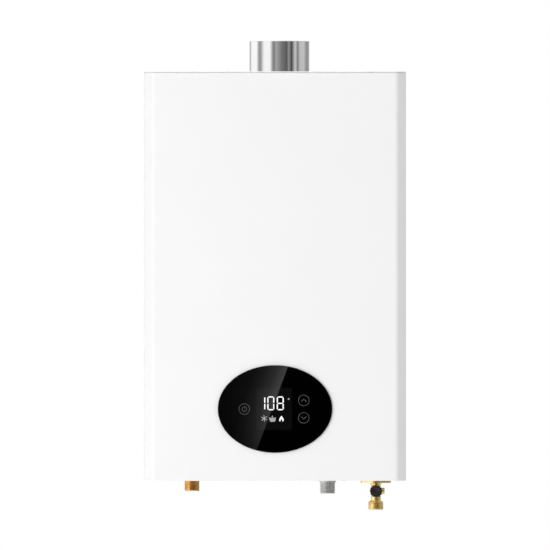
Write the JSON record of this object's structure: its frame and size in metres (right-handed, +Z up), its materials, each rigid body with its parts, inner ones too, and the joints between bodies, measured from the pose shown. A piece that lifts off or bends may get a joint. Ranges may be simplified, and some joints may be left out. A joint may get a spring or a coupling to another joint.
{
  "type": "gas water heater",
  "caption": "Wall-hung tankless gas water heater: white sheet-metal casing, oval black glass touch panel, round steel flue collar on top, threaded brass and steel pipe connections below.",
  "frame": {"origin": "on the wall plane, midway between the two hanging keyholes", "axes": "+Z up, -Y out of the front towards the user, +Y into the wall, +X to the right as seen from the front"},
  "size_m": [0.35, 0.1454, 0.6296],
  "materials": {
    "white_powder_coat": "fine powder coat",
    "polished_stainless": "polished",
    "zinc_steel": "galvanised",
    "screw_steel": "zinc plated",
    "bare_copper": "drawn copper tube and sheet",
    "burner_steel": "stainless pressing",
    "cast_aluminium": "die cast",
    "yellow_brass": "machined",
    "motor_black": "black paint",
    "black_glass": "back-printed gloss glass",
    "black_plastic": "moulded",
    "knob_black": "moulded, fluted",
    "black_rubber": "moulded rubber",
    "gasket_fibre": "fibre sheet",
    "white_plastic": "moulded",
    "blue_plastic": "moulded",
    "circuit_board": "glass-fibre board",
    "component_mix": "moulded parts",
    "coil_winding": "varnished winding",
    "white_ceramic": "glazed"
  },
  "bodies": {
    "casing": {"front_cover": "white_powder_coat", "back_shell": "white_powder_coat", "cover_screws": "screw_steel", "mounting_brackets": "zinc_steel", "cable_grommet": "black_rubber", "flue_collar": "polished_stainless", "flue_gasket": "gasket_fibre", "fan_housing": "zinc_steel", "fan_front_plate": "zinc_steel", "fan_motor": "motor_black", "motor_screws": "screw_steel", "exhaust_hood": "zinc_steel", "air_pressure_switch": "white_plastic", "pressure_hose": "black_rubber", "combustion_chamber": "bare_copper", "fin_stack": "bare_copper", "exchanger_tubes": "bare_copper", "wrap_coil": "bare_copper", "hot_pipe": "bare_copper", "outlet_nipple": "yellow_brass", "burner_box": "zinc_steel", "burner_blades": "burner_steel", "gas_manifold": "cast_aluminium", "injectors": "yellow_brass", "ignition_electrodes": "white_ceramic", "flame_rod": "white_ceramic", "gas_pipe": "zinc_steel", "gas_valve_body": "cast_aluminium", "gas_inlet_nipple": "zinc_steel", "shutoff_coil": "coil_winding", "modulating_coil": "coil_winding", "inlet_valve_body": "yellow_brass", "inlet_flange_screws": "screw_steel", "drain_gland": "yellow_brass", "flow_sensor_body": "black_plastic", "turbine_cages": "white_plastic", "hall_sensor": "black_plastic", "thermistors": "screw_steel", "overheat_cutout": "black_plastic", "control_tray": "black_plastic", "control_board": "circuit_board", "board_components": "component_mix", "transformer": "burner_steel", "igniter_module": "black_plastic", "panel_glass": "black_glass", "panel_carrier": "black_plastic", "display_board": "circuit_board", "display_module": "black_plastic", "touch_pads": "black_rubber", "panel_screws": "screw_steel"},
    "rotor": {"fan_impeller": "zinc_steel", "fan_shaft": "screw_steel"},
    "turbine": {"flow_turbine": "blue_plastic"},
    "shutoff": {"shutoff_plunger": "screw_steel"},
    "modulator": {"modulating_plunger": "screw_steel"},
    "drain_stem": {"drain_jumper": "black_rubber"},
    "drain_handle": {"drain_spindle": "yellow_brass", "drain_knob": "knob_black"}
  },
  "joints": [
    {"name": "drain_slide", "type": "slide", "parent": "casing", "child": "drain_stem", "axis": [0, -1, 0], "range_m": [0, 0.0018]},
    {"name": "drain_turn", "type": "hinge", "parent": "drain_stem", "child": "drain_handle", "pos_m": [0.1355, -0.098, -0.51], "axis": [0, -1, 0], "range_deg": [0, 540]},
    {"name": "fan_spin", "type": "hinge", "parent": "casing", "child": "rotor", "pos_m": [-0.036, -0.071, -0.0134], "axis": [0, -1, 0], "continuous": true},
    {"name": "turbine_spin", "type": "hinge", "parent": "casing", "child": "turbine", "pos_m": [0.1355, -0.071, -0.455], "axis": [0, 0, 1], "continuous": true},
    {"name": "shutoff_lift", "type": "slide", "parent": "casing", "child": "shutoff", "axis": [0, 0, 1], "range_m": [0, 0.0025], "stiffness_N_per_m": 400, "springref_m": -0.004},
    {"name": "modulator_lift", "type": "slide", "parent": "casing", "child": "modulator", "axis": [0, 0, 1], "range_m": [0, 0.0025], "stiffness_N_per_m": 400, "springref_m": -0.004}
  ],
  "couplings": [
    {"joint": "drain_turn", "follows": "drain_slide", "rad_per_m": 5235}
  ]
}
